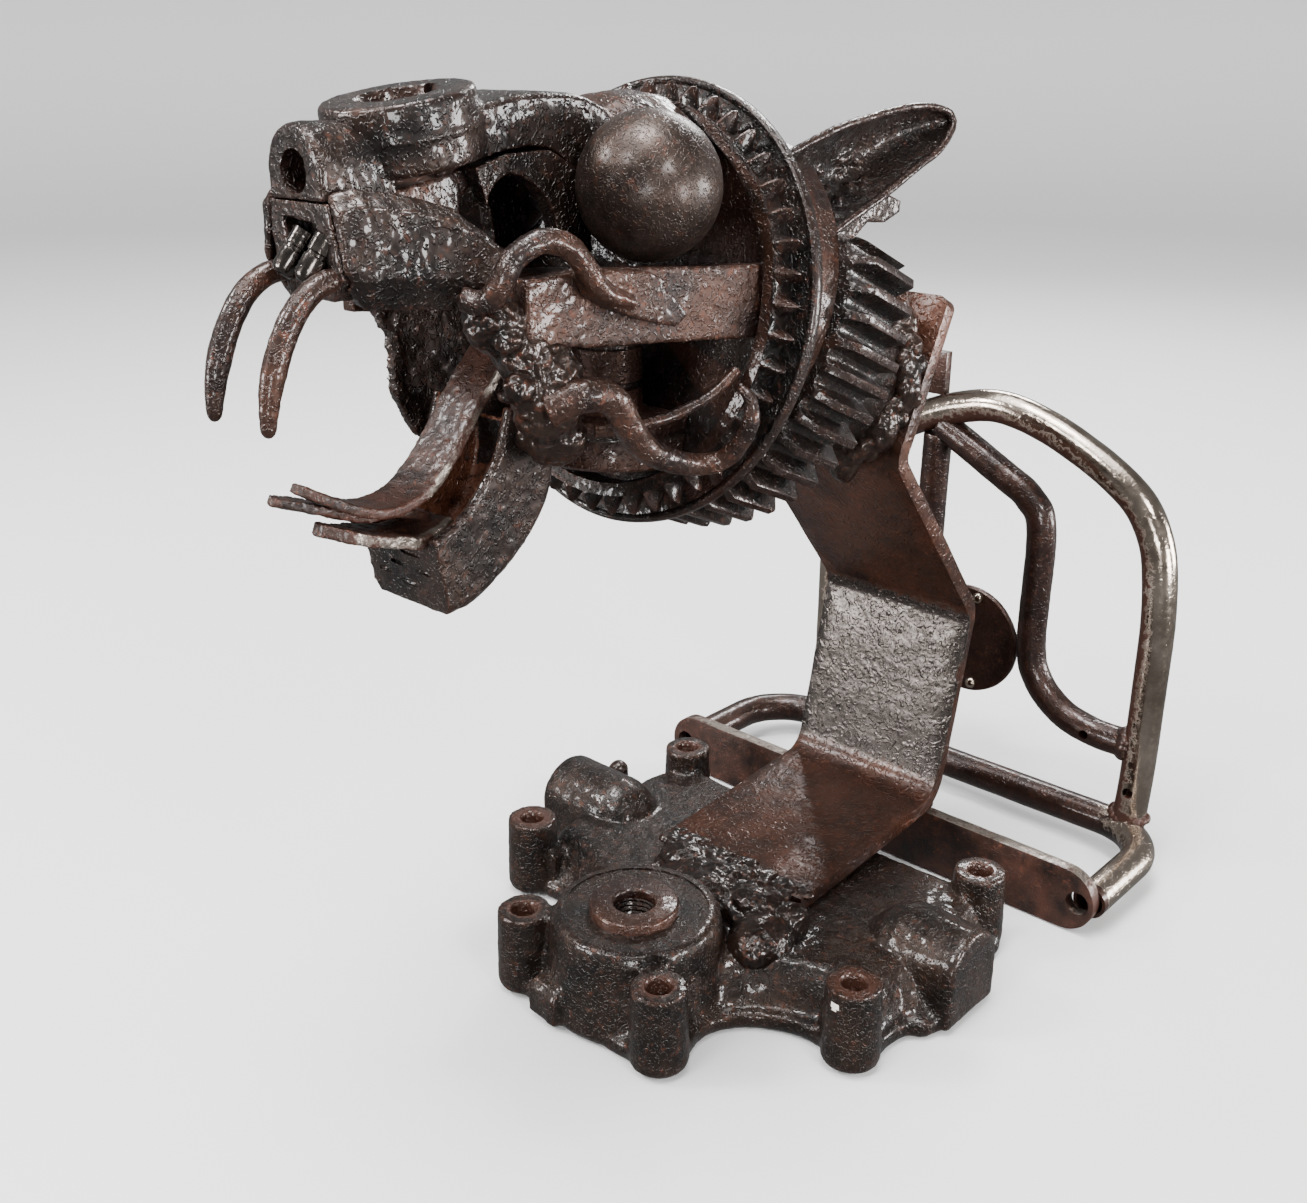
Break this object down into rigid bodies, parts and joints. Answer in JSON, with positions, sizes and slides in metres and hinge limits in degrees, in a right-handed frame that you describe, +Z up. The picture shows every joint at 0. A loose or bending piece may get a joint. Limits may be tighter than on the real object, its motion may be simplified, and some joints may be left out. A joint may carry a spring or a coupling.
{
  "type": "metal wolf head sculpture",
  "caption": "Wolf head with open jaws, welded from toothed wheels, levers, rods and tubes, held by a bent flat bar on a cast cover, with a tube rack behind.",
  "frame": {"origin": "middle of the footprint, on the ground", "axes": "+Z up, the muzzle looks to -Y, the tube rack stands at +Y, X is the width"},
  "size_m": [0.2044, 0.3303, 0.2938],
  "materials": {
    "cast_cover": "dark brown lacquered cast iron with rust at the edges",
    "rusted_bar": "lacquered red-brown rusted flat bar with worn grey patches",
    "weld_bead": "dark lacquered weld metal",
    "brown_tube": "lacquered brown rusted tube",
    "worn_nickel": "dull worn nickel plating with rust spots",
    "dark_gear": "glossy lacquered dark gear steel",
    "bronze_ball": "satin brown-bronze ball",
    "brown_steel": "lacquered brown rusted steel"
  },
  "bodies": {
    "root": {"base_casting": "cast_cover", "base_washer": "cast_cover", "neck_strap": "rusted_bar", "rack_strip": "rusted_bar", "base_weld": "weld_bead", "rack_heel_weld": "weld_bead", "neck_weld_L": "weld_bead", "neck_weld_R": "weld_bead", "cheek_weld_L": "weld_bead", "rack_ground_loop": "brown_tube", "rack_inner_tube_L": "brown_tube", "rack_inner_tube_R": "brown_tube", "rack_round_plate": "brown_tube", "rack_top_tab": "brown_tube", "rack_outer_arch": "worn_nickel", "rack_plate_rivet_1": "worn_nickel", "rack_plate_rivet_2": "worn_nickel", "nose_bolt_1": "worn_nickel", "nose_bolt_2": "worn_nickel", "neck_gear": "dark_gear", "neck_cone": "dark_gear", "collar_ring": "dark_gear", "snout_arm": "dark_gear", "nose_bush": "dark_gear", "nose_bracket": "dark_gear", "snout_plate_L": "dark_gear", "snout_plate_R": "dark_gear", "snout_arch_L": "dark_gear", "snout_arch_R": "dark_gear", "jaw_channel": "dark_gear", "cheek_wall_R": "dark_gear", "ear_L": "dark_gear", "ear_R": "dark_gear", "ear_lug_L": "dark_gear", "ear_lug_R": "dark_gear", "eye_ball_L": "bronze_ball", "eye_ball_R": "bronze_ball", "neck_sleeve": "brown_steel", "snout_bridge": "brown_steel", "forehead_cap": "brown_steel", "mouth_roof": "brown_steel", "cheek_yoke_L": "brown_steel", "cheek_yoke_R": "brown_steel", "throat_cup": "brown_steel", "throat_post": "brown_steel", "cheek_hook_upper_L": "brown_steel", "cheek_hook_upper_R": "brown_steel", "cheek_hook_lower_L": "brown_steel", "cheek_bar_L": "brown_steel", "tongue_strap": "brown_steel", "lip_leaf_upper": "brown_steel", "lip_leaf_lower": "brown_steel", "fang_L": "brown_steel", "fang_R": "brown_steel"}
  },
  "joints": []
}
